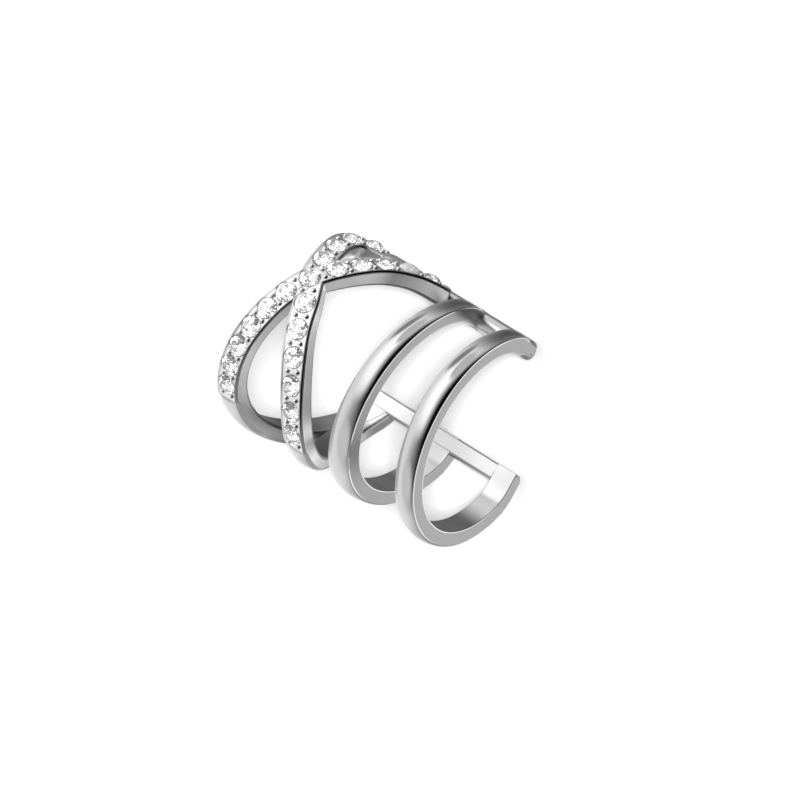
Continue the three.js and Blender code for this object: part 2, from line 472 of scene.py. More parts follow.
@dataclass
class Dresser:
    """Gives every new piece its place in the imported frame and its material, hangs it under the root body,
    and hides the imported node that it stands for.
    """

    place: Matrix
    materials: dict[Slot, bpy.types.Material]

    def finish(
        self, draft: MeshDraft, name: str, node: str, slot: Slot, smooth: bool = True
    ) -> bpy.types.Object:
        """Args:
            draft: the piece's mesh, in the cuff's own frame.
            name: the piece's name.
            node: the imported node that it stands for.
            slot: the record's slot that it takes its finish from.
            smooth: whether it is shaded smooth.

        Returns:
            The finished object.
        """
        piece = draft.make(name, self.place, smooth)
        piece.data.materials.append(self.materials[slot])
        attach(piece, ROOT)
        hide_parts(node)
        return piece


def quarter_round(steps: int) -> tuple[np.ndarray, np.ndarray]:
    """Shares of a fillet: how far in from the wall, and how far along, from the flat side onwards."""
    turn = np.linspace(0.0, math.pi / 2, steps + 1)
    return 1.0 - np.sin(turn), 1.0 - np.cos(turn)


@dataclass(frozen=True)
class BandLoop:
    """A band's outline as one closed loop, out along the outer edge and back along the inner one.

    plane has a row of x and z for each station, of which the first outer_count lie on the outer
    edge. angle is each station's angle round the axis, and from_lobe its distance from the lobe's
    centre.
    """

    plane: np.ndarray
    outer_count: int
    angle: np.ndarray
    from_lobe: np.ndarray

    def is_outer(self) -> np.ndarray:
        """Which stations lie on the outer edge."""
        return np.arange(len(self.plane)) < self.outer_count

    def in_cap(self) -> np.ndarray:
        """The share of the lobe's round end at each station: 1 in it, and 0 past it."""
        return 1.0 - smoothstep(self.from_lobe, 0.75, 1.1)

    def by_rail(self) -> np.ndarray:
        """The share of the top next to the upper rail, on the outer edge past the lobe's end."""
        return (1.0 - smoothstep(self.from_lobe, 2.2, 3.4)) * (1.0 - self.in_cap()) * self.is_outer()


@dataclass
class PlainBand:
    """A plain hoop: flat sides, domed outside, with a round lobe at its upper end.

    Its outline is a closed loop in the plane square to the axis, and its wall carries a profile of
    a fillet, a dome and a fillet across the band's width.
    """

    name: str
    near: float
    fan: float
    width: float
    top_width: float
    foot_width: float
    shell: Shell = field(default_factory=Shell)
    lobe_angle: float = 49.6
    lobe_radius: float = 4.955
    lobe_half: float = 0.505
    lobe_past: float = 1.5
    last_angle: float = 306.2
    free_end: float = -0.54
    end_start: float = -0.8
    end_corner: float = 0.42
    dome: float = 0.15
    fillet: float = 0.05
    lobe_fillet: float = 0.05
    # Painted light: how much lighter the near side's lobe and the far side are painted.
    lobe_painted_light: float = 0.0
    far_side_painted_light: float = 0.85
    stations: int = 260
    cap_steps: int = 16
    corner_steps: int = 9
    dome_columns: int = 13
    fillet_steps: int = 6

    def _outline(self) -> tuple[np.ndarray, np.ndarray]:
        """The outer and inner edges of the side face, from the lobe's tip to the lower free end.

        The lobe is a half circle about its centre, and the lower end is cut square with one rounded
        corner.

        Returns:
            Both edges as rows of x and z, station by station, so that straight strips join the two.
        """
        angle = np.linspace(self.lobe_angle + self.lobe_past, self.last_angle, self.stations)
        outer = on_shell(self.shell.outside(angle, self.shell.radius), angle, 0.0)[:, [0, 2]]
        inner = on_shell(self.shell.inside(angle), angle, 0.0)[:, [0, 2]]
        turn = np.linspace(math.pi / 2, 0.0, self.cap_steps, endpoint=False)
        centre = on_shell(self.lobe_radius, self.lobe_angle, 0.0)[[0, 2]]
        away = np.array([math.cos(math.radians(self.lobe_angle)), math.sin(math.radians(self.lobe_angle))])
        ahead = np.array([away[1], -away[0]])
        swing = np.sin(turn)[:, None] * ahead
        cap_out = centre + self.lobe_half * (np.cos(turn)[:, None] * away + swing)
        cap_in = centre + self.lobe_half * (-np.cos(turn)[:, None] * away + swing)
        facing = math.radians(self.shell.lower_facing)
        out = np.array([math.cos(facing), math.sin(facing)])
        round_way = np.array([-out[1], out[0]])
        bend = np.linspace(0.0, math.pi / 2, self.corner_steps)
        corner_out = self.shell.lower_outside - self.end_corner * (1.0 - np.cos(bend))
        corner_round = self.free_end - self.end_corner * (1.0 - np.sin(bend))
        straight = np.linspace(self.end_start, self.free_end, len(bend))
        end_out = corner_out[:, None] * out + corner_round[:, None] * round_way
        end_in = np.full((len(bend), 1), self.shell.lower_inside) * out + straight[:, None] * round_way
        return np.concatenate([cap_out, outer, end_out]), np.concatenate([cap_in, inner, end_in])

    def _loop(self) -> BandLoop:
        """The two edges joined to one loop.

        Returns:
            The loop, with each station's angle and its distance from the lobe's centre.
        """
        outer, inner = self._outline()
        plane = np.concatenate([outer, inner[::-1]])
        angle = np.degrees(np.arctan2(plane[:, 1], plane[:, 0])) % 360.0
        lobe = on_shell(self.lobe_radius, self.lobe_angle, 0.0)[[0, 2]]
        return BandLoop(plane, len(outer), angle, np.linalg.norm(plane - lobe, axis=1))

    def _near_face(self, plane: np.ndarray) -> np.ndarray:
        """How far along the axis the near face lies, which leans towards or away from the upper rail.

        Args:
            plane: rows of x and z.

        Returns:
            near, plus fan times the share of the radius by which the point lies towards the rail.
        """
        facing = math.radians(self.shell.upper_facing)
        towards = plane @ np.array([math.cos(facing), math.sin(facing)])
        return self.near + self.fan * towards / self.shell.radius

    def _widths(self, angle: np.ndarray) -> np.ndarray:
        """The band's width at each angle, narrower next to the upper rail and wider at its foot."""
        width = self.width + (self.foot_width - self.width) * smoothstep(angle, 90.0, 250.0)
        return width - (self.width - self.top_width) * (1.0 - smoothstep(angle, 64.0, 125.0))

    def _across(self, loop: BandLoop, width: np.ndarray) -> tuple[np.ndarray, np.ndarray]:
        """How far across the band each column of the wall lies, and how far its fillets draw it in.

        A fillet's columns follow a quarter circle, and those between the fillets are evenly spaced.
        The far fillet all but vanishes where the inside meets the lower rail.

        Args:
            loop: the band's outline.
            width: the band's width at each station.

        Returns:
            Both lengths, stations by columns.
        """
        inset, along = quarter_round(self.fillet_steps)
        in_lobe = 1.0 - smoothstep(loop.from_lobe, 0.5, 1.3)
        near = self.fillet + (self.lobe_fillet - self.fillet) * in_lobe
        at_rail = smoothstep(loop.angle, 296.0, 300.0) * (loop.angle < 350.0)
        far = self.fillet * (1.0 - 0.85 * np.where(loop.is_outer(), 0.0, at_rail))
        share = np.linspace(0.0, 1.0, self.dome_columns + 2)[1:-1]
        middle = near[:, None] + share * (width - near - far)[:, None]
        far_along = width[:, None] - far[:, None] * along[::-1]
        across = np.concatenate([near[:, None] * along, middle, far_along], axis=1)
        near_inset, far_inset = near[:, None] * inset, far[:, None] * inset[::-1]
        return across, np.concatenate([near_inset, np.zeros_like(middle), far_inset], axis=1)

    def _wall(
        self, loop: BandLoop, width: np.ndarray, across: np.ndarray, drawn_in: np.ndarray
    ) -> np.ndarray:
        """The wall's points: the outline carried across the band.

        Outside it is pushed out by a dome, which is dome times one less the square of the share of
        the half width from the middle, and dies out towards both ends of the band.

        Args:
            loop: the band's outline.
            width: the band's width at each station.
            across: how far across the band each point lies.
            drawn_in: how far its fillets draw each point in.

        Returns:
            Stations by columns by 3.
        """
        ahead = np.roll(loop.plane, -1, axis=0) - np.roll(loop.plane, 1, axis=0)
        outwards = np.stack([ahead[:, 1], -ahead[:, 0]], axis=1)
        outwards /= np.linalg.norm(outwards, axis=1, keepdims=True)
        from_ends = np.minimum(loop.angle - 52.0, 305.0 - loop.angle)
        rise = np.where(loop.is_outer(), self.dome * smoothstep(from_ends, 0.0, 26.0), 0.0)
        bulge = 1.0 - (2.0 * across / width[:, None] - 1.0) ** 2
        push = rise[:, None] * bulge - drawn_in
        plane = loop.plane[:, None, :] + push[..., None] * outwards[:, None, :]
        depth = self._near_face(loop.plane)[:, None] + across
        return np.stack([plane[..., 0], depth, plane[..., 1]], axis=-1)

    def _wall_finish(self, loop: BandLoop, share: np.ndarray) -> np.ndarray:
        """The wall's finish: polished outside, and from satin to frosted inside towards the foot.

        The near fillet is satin round the lobe and below the band's middle, and painted dark on the top next
        to the upper rail. The top next to the upper rail turns a little past satin, a painted mid grey, but
        for a strip along its near edge. Inside, satin is painted darker and frosted nearly white, so the
        bore is painted lighter towards the foot.

        Args:
            loop: the band's outline.
            share: each point's share of the width, from the near face.

        Returns:
            The finish, stations by columns.
        """
        is_outer, by_rail = loop.is_outer(), loop.by_rail()
        columns, middle = np.arange(share.shape[1]), share.shape[1] // 2
        near_edge = columns <= self.fillet_steps
        in_bore = np.abs(columns - middle) < middle - 1
        # Inside, the bore is painted from a darker satin to a nearly white frosted towards the foot.
        to_satin, to_frosted = smoothstep(loop.angle, 200.0, 225.0), smoothstep(loop.angle, 262.0, 284.0)
        bore = np.where(is_outer, 0.0, to_satin + to_frosted)
        low = smoothstep(loop.angle, 205.0, 235.0) * is_outer
        finish = np.maximum(near_edge * loop.in_cap()[:, None], near_edge * low[:, None])
        # The near fillet on the top by the rail is painted dark.
        finish = np.maximum(finish, bore[:, None] * in_bore) - 0.5 * (near_edge * by_rail[:, None])
        # The top by the rail is painted a mid grey, a little past satin.
        top = 1.25 * (1.0 - smoothstep(loop.from_lobe, 1.4, 4.6)) * is_outer
        return np.maximum(finish, top[:, None] * smoothstep(share, 0.1, 0.32))

    def _add_side_faces(self, made: MeshDraft, loop: BandLoop, wall: np.ndarray) -> None:
        """Adds the flat faces on both sides: strips from the outer edge to the inner one.

        They are satin, painted darker, between polished rims. The lobe and the outer rim low on the band
        have no polished rim. The far side is painted brighter, and so is the near side's lobe by its own
        amount, because both face other metal and mirror its shade, which the painted light lifts.

        Args:
            made: the draft that gets the faces.
            loop: the band's outline.
            wall: the wall's points, whose first and last columns are the faces' edges.
        """
        half = loop.outer_count
        shares = np.array([0.0, 0.045, 0.075, 0.5, 0.955, 0.985, 1.0])[None, :, None]
        in_rims = np.array([0.0, 0.0, 1.0, 1.0, 1.0, 0.0, 0.0])
        in_inner_rim = np.array([1.0, 1.0, 1.0, 1.0, 1.0, 0.0, 0.0])
        in_cap, by_rail = loop.in_cap(), loop.by_rail()
        no_rim = np.maximum((in_cap + by_rail)[:half], in_cap[half:][::-1])
        low = smoothstep(loop.angle[:half], 205.0, 235.0)[:, None] * in_inner_rim
        finish = np.maximum(np.maximum(in_rims[None], no_rim[:, None]), low)
        # The near side's lobe is painted lighter.
        near_painted_light = self.lobe_painted_light * (1.0 - smoothstep(loop.from_lobe[:half], 0.6, 2.4))
        near_finish = finish * (1.0 + near_painted_light[:, None])
        near, far = (
            edge[:half, None] * (1.0 - shares) + edge[half:][::-1][:, None] * shares
            for edge in (wall[:, 0], wall[:, -1])
        )
        made.add_grid(near[:, ::-1], near_finish[:, ::-1], ring=False, caps=False)
        # The far side is painted lighter.
        made.add_grid(far, finish * (1.0 + self.far_side_painted_light), ring=False, caps=False)

    def draft(self) -> MeshDraft:
        """The hoop as one closed skin: a wall all round the loop, and a flat face on each side.

        Returns:
            The hoop's draft.
        """
        loop = self._loop()
        width = self._widths(loop.angle)
        across, drawn_in = self._across(loop, width)
        wall = self._wall(loop, width, across, drawn_in)
        rows, finish = wall[:, ::-1], self._wall_finish(loop, across / width[:, None])[:, ::-1]
        made = MeshDraft()
        made.add_grid(
            np.concatenate([rows, rows[:1]]), np.concatenate([finish, finish[:1]]), ring=False, caps=False
        )
        self._add_side_faces(made, loop, wall)
        return made


@dataclass
class StrandRoute:
    """A strand's centre line on the unrolled shell: x is the length round it, y that along the axis."""

    knots: tuple[tuple[float, float], ...]
    radius: float
    samples: int = 1600
    window: int = 41
    passes: int = 3

    def __post_init__(self) -> None:
        """Works the line out.

        It is a cubic spline through the knots, whose slopes are weighed by the square roots of the
        gaps between them, and its reach is the length along it.
        """
        points = np.array([(math.radians(angle) * self.radius, along) for angle, along in self.knots])
        before, after = 2 * points[0] - points[1], 2 * points[-1] - points[-2]
        p = np.vstack([before, points, after])
        gap = np.linalg.norm(np.diff(p, axis=0), axis=1) ** 0.5
        spans = len(points) - 1
        t = np.linspace(0.0, spans, self.samples, endpoint=True)
        i = np.minimum(t.astype(int), spans - 1)
        u = (t - i)[:, None]
        p0, p1, p2, p3 = p[i], p[i + 1], p[i + 2], p[i + 3]
        g0, g1, g2 = gap[i, None], gap[i + 1, None], gap[i + 2, None]
        m1 = g1 * ((p1 - p0) / g0 - (p2 - p0) / (g0 + g1) + (p2 - p1) / g1)
        m2 = g1 * ((p2 - p1) / g1 - (p3 - p1) / (g1 + g2) + (p3 - p2) / g2)
        line = (
            p1 * (2 * u**3 - 3 * u**2 + 1)
            + p2 * (3 * u**2 - 2 * u**3)
            + m1 * (u**3 - 2 * u**2 + u)
            + m2 * (u**3 - u**2)
        )
        self.line = self._eased(line)
        step = np.linalg.norm(np.diff(self.line, axis=0), axis=1)
        self.reach = np.concatenate([[0.0], np.cumsum(step)])
        self.length = float(self.reach[-1])

    def _eased(self, line: np.ndarray) -> np.ndarray:
        """The line with its curvature evened out.

        Args:
            line: rows of x and y.

        Returns:
            A running mean of the line, taken a few times, that keeps both ends where they are.
        """
        half = self.window // 2
        for _pass in range(self.passes):
            ahead = 2 * line[0] - line[half:0:-1]
            behind = 2 * line[-1] - line[-2 : -half - 2 : -1]
            padded = np.vstack([ahead, line, behind])
            sums = np.cumsum(np.vstack([np.zeros(2), padded]), axis=0)
            line = (sums[self.window :] - sums[: -self.window]) / self.window
        return line

    def at(self, reach: np.ndarray) -> tuple[np.ndarray, np.ndarray]:
        """The place and the direction so far along the line.

        Args:
            reach: lengths along the line.

        Returns:
            The points of the unrolled shell, and the unit directions there.
        """
        point = np.stack([np.interp(reach, self.reach, self.line[:, k]) for k in (0, 1)], axis=-1)
        slope = np.gradient(self.line, self.reach, axis=0)
        way = np.stack([np.interp(reach, self.reach, slope[:, k]) for k in (0, 1)], axis=-1)
        return point, way / np.linalg.norm(way, axis=-1, keepdims=True)

    def reach_at_angle(self, angle: float) -> float:
        """How far along the line it first passes the angle, after its turn back near the upper rail."""
        past = np.nonzero(self.line[:, 0] >= math.radians(angle) * self.radius)[0][0]
        return float(self.reach[past])

    def nearest(self, points: np.ndarray) -> tuple[np.ndarray, np.ndarray]:
        """Where the line comes closest to each point.

        Args:
            points: points of the unrolled shell.

        Returns:
            The distance from each point to the line, and how far along the line the foot lies.
        """
        thin = slice(None, None, 4)
        gaps = np.linalg.norm(points[..., None, :] - self.line[thin], axis=-1)
        foot = gaps.argmin(axis=-1)
        return gaps.min(axis=-1), self.reach[thin][foot]


@dataclass(frozen=True)
class StoneRun:
    """A row of stones stepped off along a strand from the crossing."""

    name: str
    first: float
    step: float
    count: int

    def centres(self) -> np.ndarray:
        """Each stone's distance from the crossing along the strand."""
        return self.first + self.step * np.arange(self.count)

    def beads(self) -> np.ndarray:
        """The bead pairs' distances from the crossing.

        Returns:
            Half a step before each stone, and after the last, but halfway to the crossing for the first.
        """
        between = self.first + self.step * (np.arange(self.count + 1) - 0.5)
        between[0] = self.first / 2
        return between


@dataclass
class StoneSetStrand:
    """A strand of the cross: plain and domed at its ends, cut as a channel for stones round the top."""

    name: str
    route: StrandRoute
    width: float
    sunk: float
    runs: tuple[StoneRun, ...]
    shell: Shell = field(default_factory=Shell)
    crossing_angle: float = 113.0
    dome: float = 0.15
    fillet: float = 0.15
    set_margin: float = 0.16
    set_ease: float = 0.35
    set_step: float = 0.045
    plain_step: float = 0.12
    top_columns: int = 44
    inside_columns: int = 8
    fillet_steps: int = 5
    flank_shares: tuple[float, ...] = (0.02, 0.09, 0.12, 0.5, 0.97)

    def __post_init__(self) -> None:
        """Finds where the strand passes the crossing."""
        self.crossing = self.route.reach_at_angle(self.crossing_angle)

    def set_span(self) -> tuple[float, float]:
        """The part of the strand that is cut for stones.

        Returns:
            Its first and last reach, a margin past the first and last beads.
        """
        ends = [self.crossing + bead for run in self.runs for bead in (run.beads().min(), run.beads().max())]
        return min(ends) - self.set_margin, max(ends) + self.set_margin

    def stone_reaches(self) -> np.ndarray:
        """How far along the strand each of its stones sits."""
        return self.crossing + np.concatenate([run.centres() for run in self.runs])

    def unrolled(self, reach: np.ndarray, across: np.ndarray) -> np.ndarray:
        """Points of the unrolled shell, moved squarely across the route.

        Args:
            reach: how far along the strand each point is.
            across: how far to the side of the route it is.

        Returns:
            The points, with x and y on the last axis.
        """
        point, way = self.route.at(reach)
        side = np.stack([-way[..., 1], way[..., 0]], axis=-1)
        return point + across[..., None] * side

    def frame_at(self, reach: float, across: float, depth: float) -> np.ndarray:
        """A frame on the strand's face, x along the strand and z out of the shell.

        Args:
            reach: how far along the strand it is.
            across: how far to the side of the route it is.
            depth: how far it lies under the strand's face.

        Returns:
            A 4 by 4 array that brings the frame's points into the cuff's own frame.
        """
        point, way = self.route.at(np.array(reach))
        flat = point + across * np.array([-way[1], way[0]])
        angle = np.degrees(flat[0] / self.shell.strand_radius)
        out = on_shell(1.0, angle, 0.0)
        ahead = on_shell(1.0, angle + 90.0, 0.0) * way[0] + np.array([0.0, way[1], 0.0])
        ahead /= np.linalg.norm(ahead)
        made = np.eye(4)
        made[:3, 0], made[:3, 1], made[:3, 2] = ahead, np.cross(out, ahead), out
        made[:3, 3] = on_shell(self.shell.outside(angle, self.shell.strand_radius) - depth, angle, flat[1])
        return made

    def _stations(self) -> np.ndarray:
        """The rows' places along the strand.

        Returns:
            Reaches that lie close together where the stones are set, and wider apart elsewhere.
        """
        low, high = self.set_span()
        before = np.arange(0.0, low, self.plain_step)
        between = np.arange(low, high, self.set_step)
        after = np.linspace(high, self.route.length, int((self.route.length - high) / self.plain_step))
        return np.concatenate([before, between, after])

    def _is_set(self, reach: np.ndarray) -> np.ndarray:
        """The share by which the strand is cut for stones.

        Args:
            reach: places along the strand.

        Returns:
            1 inside the set span, and 0 from set_ease outside it.
        """
        low, high = self.set_span()
        rise = smoothstep(reach, low - self.set_ease, low)
        return rise * (1.0 - smoothstep(reach, high, high + self.set_ease))

    def _angles(self, flat: np.ndarray) -> np.ndarray:
        """The angles, in degrees, of points of the unrolled shell."""
        return np.degrees(flat[..., 0] / self.shell.strand_radius)

    def _face(
        self, relief: "SettingRelief", reach: np.ndarray, across: np.ndarray
    ) -> tuple[np.ndarray, np.ndarray]:
        """The strand's outer face.

        Its height is the setting's relief where stones are set. Elsewhere it is a dome: dome times
        one less the square of the share of the half width from the middle. Both edges are rounded.

        Args:
            relief: the cut surface round the stones.
            reach: the rows' places along the strand.
            across: the columns' places across it.

        Returns:
            The points, rows by columns by 3, and the angle at each.
        """
        inset = quarter_round(self.fillet_steps)[0] * self.fillet
        sunk_edge = np.concatenate([inset, np.zeros(len(across) - 2 * len(inset)), inset[::-1]])
        flat = self.unrolled(*np.broadcast_arrays(reach[:, None], across[None, :]))
        angle, is_set = self._angles(flat), self._is_set(reach)[:, None]
        bulge = 1.0 - (across / (self.width / 2)) ** 2
        plain = self.shell.outside(angle, self.shell.radius) + self.dome * bulge
        ledge = self.shell.outside(angle, self.shell.strand_radius)
        height = plain + (ledge - plain) * is_set + relief.height(flat) * is_set - sunk_edge - self.sunk
        return on_shell(height, angle, flat[..., 1]), angle

    def _inside(self, reach: np.ndarray) -> np.ndarray:
        """The strand's inner face, its columns counted the other way round from the outer face's.

        Args:
            reach: the rows' places along the strand.

        Returns:
            The points, rows by columns by 3.
        """
        half = self.width / 2
        inset, along = (share * self.fillet for share in quarter_round(self.fillet_steps))
        middle = np.linspace(half, -half, self.inside_columns)[2:-2]
        across = np.concatenate([half - along, middle, -half + along[::-1]])
        lift = np.concatenate([inset, np.zeros(len(middle)), inset[::-1]])
        flat = self.unrolled(*np.broadcast_arrays(reach[:, None], across[None, :]))
        angle = self._angles(flat)
        return on_shell(self.shell.inside(angle) + lift + self.sunk, angle, flat[..., 1])

    def _finish(
        self, reach: np.ndarray, across: np.ndarray, angle: np.ndarray, inside_count: int
    ) -> np.ndarray:
        """The finish of the face, a flank, the inside and the other flank, in that order.

        The set face is nearly frosted, painted nearly white, with a painted dark line along its near edge
        and a little painted shade along its far edge. The plain face is polished, but painted nearly white
        at its start by the upper rail, and has a painted dark line along its near edge that turns satin at
        the foot. The flanks are frosted under the stones, painted light, and go towards satin, painted
        darker, at the foot. The inside goes from satin to frosted at the lower rail, painted from darker to
        nearly white.

        Args:
            reach: the rows' places along the strand.
            across: the face's columns' places across it.
            angle: the angle at each point of the face.
            inside_count: how many columns the inside has.

        Returns:
            The finish, rows by columns.
        """
        half = self.width / 2
        is_set = self._is_set(reach)[:, None]
        round_way = angle.mean(axis=1)[:, None]
        to_side = across[None] * np.sign(self.route.at(reach)[1][:, :1])
        # The set face is painted a little darker along its far edge, and dark along its near edge.
        far_side = smoothstep(to_side, half - 1.3 * self.fillet, half - self.fillet)
        near_side = smoothstep(-to_side, half - 1.0 * self.fillet, half - 0.8 * self.fillet)
        # The plain face is painted nearly white at its start by the upper rail.
        painted_light_at_start = 1.9 * (1.0 - smoothstep(round_way, 64.0, 72.0)) * (1.0 - is_set)
        face = (1.9 * (1.0 - near_side) - 0.2 * far_side) * is_set + painted_light_at_start
        at_foot = smoothstep(round_way, 225.0, 250.0) * (1.0 - is_set)
        # The near edge is painted dark, but satin at the foot.
        face = face + near_side * (1.2 * at_foot - 0.2 - 0.3 * is_set)
        upper, lower = smoothstep(round_way, 112.0, 140.0), smoothstep(round_way, 225.0, 262.0)
        # The flanks are painted light, and darker towards the foot.
        flank = FROSTED_PAINTED_LIGHTER - 0.3 * upper - 0.55 * lower
        rim = np.array(self.flank_shares) < 0.1
        flank = flank + (FROSTED_PAINTED_LIGHTER - flank) * rim * is_set
        # The inside is painted from a darker satin to a nearly white frosted at the lower rail.
        bore = SATIN_PAINTED_DARKER + smoothstep(round_way, 280.0, 292.0)
        return np.concatenate([face, flank, np.repeat(bore, inside_count, axis=1), flank[:, ::-1]], axis=1)

    def draft(self, relief: "SettingRelief") -> MeshDraft:
        """The strand as a closed tube.

        The columns go across the face, down one flank, back across the inside and up the other
        flank. The flanks are straight lines between the edges of the two faces.

        Args:
            relief: the cut surface round the stones.

        Returns:
            The strand's draft.
        """
        half, reach = self.width / 2, self._stations()
        along = quarter_round(self.fillet_steps)[1] * self.fillet
        top = np.linspace(-half + self.fillet, half - self.fillet, self.top_columns)
        across = np.concatenate([-half + along, top[1:-1], half - along[::-1]])
        face, angle = self._face(relief, reach, across)
        inside = self._inside(reach)
        down = np.array(self.flank_shares)[None, :, None]
        up = down[:, ::-1]
        down_flank = face[:, -1:] * (1.0 - down) + inside[:, :1] * down
        up_flank = inside[:, -1:] * up + face[:, :1] * (1.0 - up)
        made = MeshDraft()
        made.add_grid(
            np.concatenate([face, down_flank, inside, up_flank], axis=1),
            self._finish(reach, across, angle, inside.shape[1]),
        )
        return made


@dataclass
class SettingRelief:
    """The cut surface round the stones: seats, and channels between thin ledges, on both strands.

    The height is worked out from the place on the unrolled shell alone, so the strands agree where
    they cross: no ledge runs over the other strand's channel, and each stone's seat is in both.
    """

    strands: tuple[StoneSetStrand, ...]
    ledge: float = 0.11
    channel: float = 0.055
    edge: float = 0.035
    mouth: float = 0.575
    seat_depth: float = 0.5

    def __post_init__(self) -> None:
        """Gathers the centres of every stone on the unrolled shell."""
        places = [strand.route.at(strand.stone_reaches())[0] for strand in self.strands]
        self.centres = np.concatenate(places)

    def height(self, flat: np.ndarray) -> np.ndarray:
        """The height above the ledges, never positive.

        Args:
            flat: points of the unrolled shell.

        Returns:
            Less the channel's depth between the ledges, and less a cone's depth in each seat: the
            cone falls from the stone's edge to the middle.
        """
        inside = np.zeros(flat.shape[:-1])
        for strand in self.strands:
            gap, reach = strand.route.nearest(flat)
            low, high = strand.set_span()
            wide = smoothstep(strand.width / 2 - self.ledge - gap, 0.0, self.edge)
            long = smoothstep(reach, low, low + self.edge)
            long = long * (1.0 - smoothstep(reach, high - self.edge, high))
            inside = np.maximum(inside, wide * long)
        gaps = np.linalg.norm(flat[..., None, :] - self.centres, axis=-1).min(axis=-1)
        seat = smoothstep(self.mouth - gaps, 0.0, self.edge)
        cone = self.seat_depth * (1.0 - gaps / self.mouth) + self.channel
        return -np.maximum(inside * self.channel, seat * cone)


@dataclass(frozen=True)
class Brilliant:
    """A round brilliant: table, eight stars, eight kites, sixteen upper and lower halves, eight mains."""

    radius: float = 0.53
    table: float = 0.3
    crown: float = 0.17
    kite: float = 0.425
    girdle: float = 0.035
    pavilion: float = 0.42
    lower: float = 0.13

    def draft(self, place: np.ndarray) -> MeshDraft:
        """The cut stone on its frame, with its girdle's top at height 0.

        The kite's side corners lie on the line from the table's corner to the girdle, and the lower
        halves' corners on the line from the girdle to the point, so every facet is flat.

        Args:
            place: the stone's frame, as a 4 by 4 array.

        Returns:
            The stone's draft.
        """
        turn = np.arange(8) * math.pi / 4
        half_turn = turn + math.pi / 8
        fall = math.cos(math.pi / 8)
        kite_height = self.crown * (self.radius - self.kite * fall) / (self.radius - self.table)
        lower_height = -self.girdle - self.pavilion * (1.0 - self.lower * fall / self.radius)

        def circle(radius: float, height: float, angles: np.ndarray) -> np.ndarray:
            """Eight points on a level circle: radius times cosine and sine of the angles."""
            return np.stack([radius * np.cos(angles), radius * np.sin(angles), np.full(8, height)], axis=1)

        rings = [
            circle(self.table, self.crown, turn),
            circle(self.kite, kite_height, half_turn),
            circle(self.radius, 0.0, turn),
            circle(self.radius, 0.0, half_turn),
            circle(self.radius, -self.girdle, turn),
            circle(self.radius, -self.girdle, half_turn),
            circle(self.lower, lower_height, half_turn),
            np.array([[0.0, 0.0, -self.girdle - self.pavilion]]),
        ]
        points = np.concatenate(rings)
        tables, kites, on, between, on_low, between_low, lowers, tip = (8 * k for k in range(8))
        i = np.arange(8)
        after, before = (i + 1) % 8, (i - 1) % 8
        made = MeshDraft()
        first = made.add_points(points @ place[:3, :3].T + place[:3, 3])
        made.add_faces(first, [(tables + i).tolist()])
        made.add_faces(first, np.stack([tables + i, kites + i, tables + after], axis=1))
        made.add_faces(first, np.stack([tables + i, kites + before, on + i, kites + i], axis=1))
        made.add_faces(first, np.stack([kites + i, on + i, between + i], axis=1))
        made.add_faces(first, np.stack([kites + i, between + i, on + after], axis=1))
        made.add_faces(first, np.stack([on + i, on_low + i, between_low + i, between + i], axis=1))
        made.add_faces(first, np.stack([between + i, between_low + i, on_low + after, on + after], axis=1))
        made.add_faces(first, np.stack([lowers + i, between_low + i, on_low + i], axis=1))
        made.add_faces(first, np.stack([lowers + i, on_low + after, between_low + i], axis=1))
        made.add_faces(first, np.stack([np.full(8, tip), lowers + i, on_low + i, lowers + before], axis=1))
        return made


@dataclass(frozen=True)
class BeadProngs:
    """The round beads raised in pairs between the stones to hold them."""

    radius: float = 0.15
    across: float = 0.3
    sunk: float = 0.07
    tall: float = 0.9

    # Nearly frosted: the beads are painted nearly white.
    finish: float = 1.9

    def add(self, made: MeshDraft, place: np.ndarray) -> None:
        """Adds one bead: a ball, a little flattened, as a grid of rings from pole to pole.

        Args:
            made: the draft that gets the bead.
            place: the bead's frame, as a 4 by 4 array.
        """
        rise = np.linspace(-0.47, 0.5, 8) * math.pi
        turn = np.linspace(0.0, 2 * math.pi, 14, endpoint=False)
        ring = np.cos(rise)[:, None] * self.radius
        height = np.sin(rise)[:, None] * self.radius * self.tall
        ball = np.stack(np.broadcast_arrays(ring * np.cos(turn), ring * np.sin(turn), height), axis=-1)
        made.add_grid(ball @ place[:3, :3].T + place[:3, 3], self.finish)


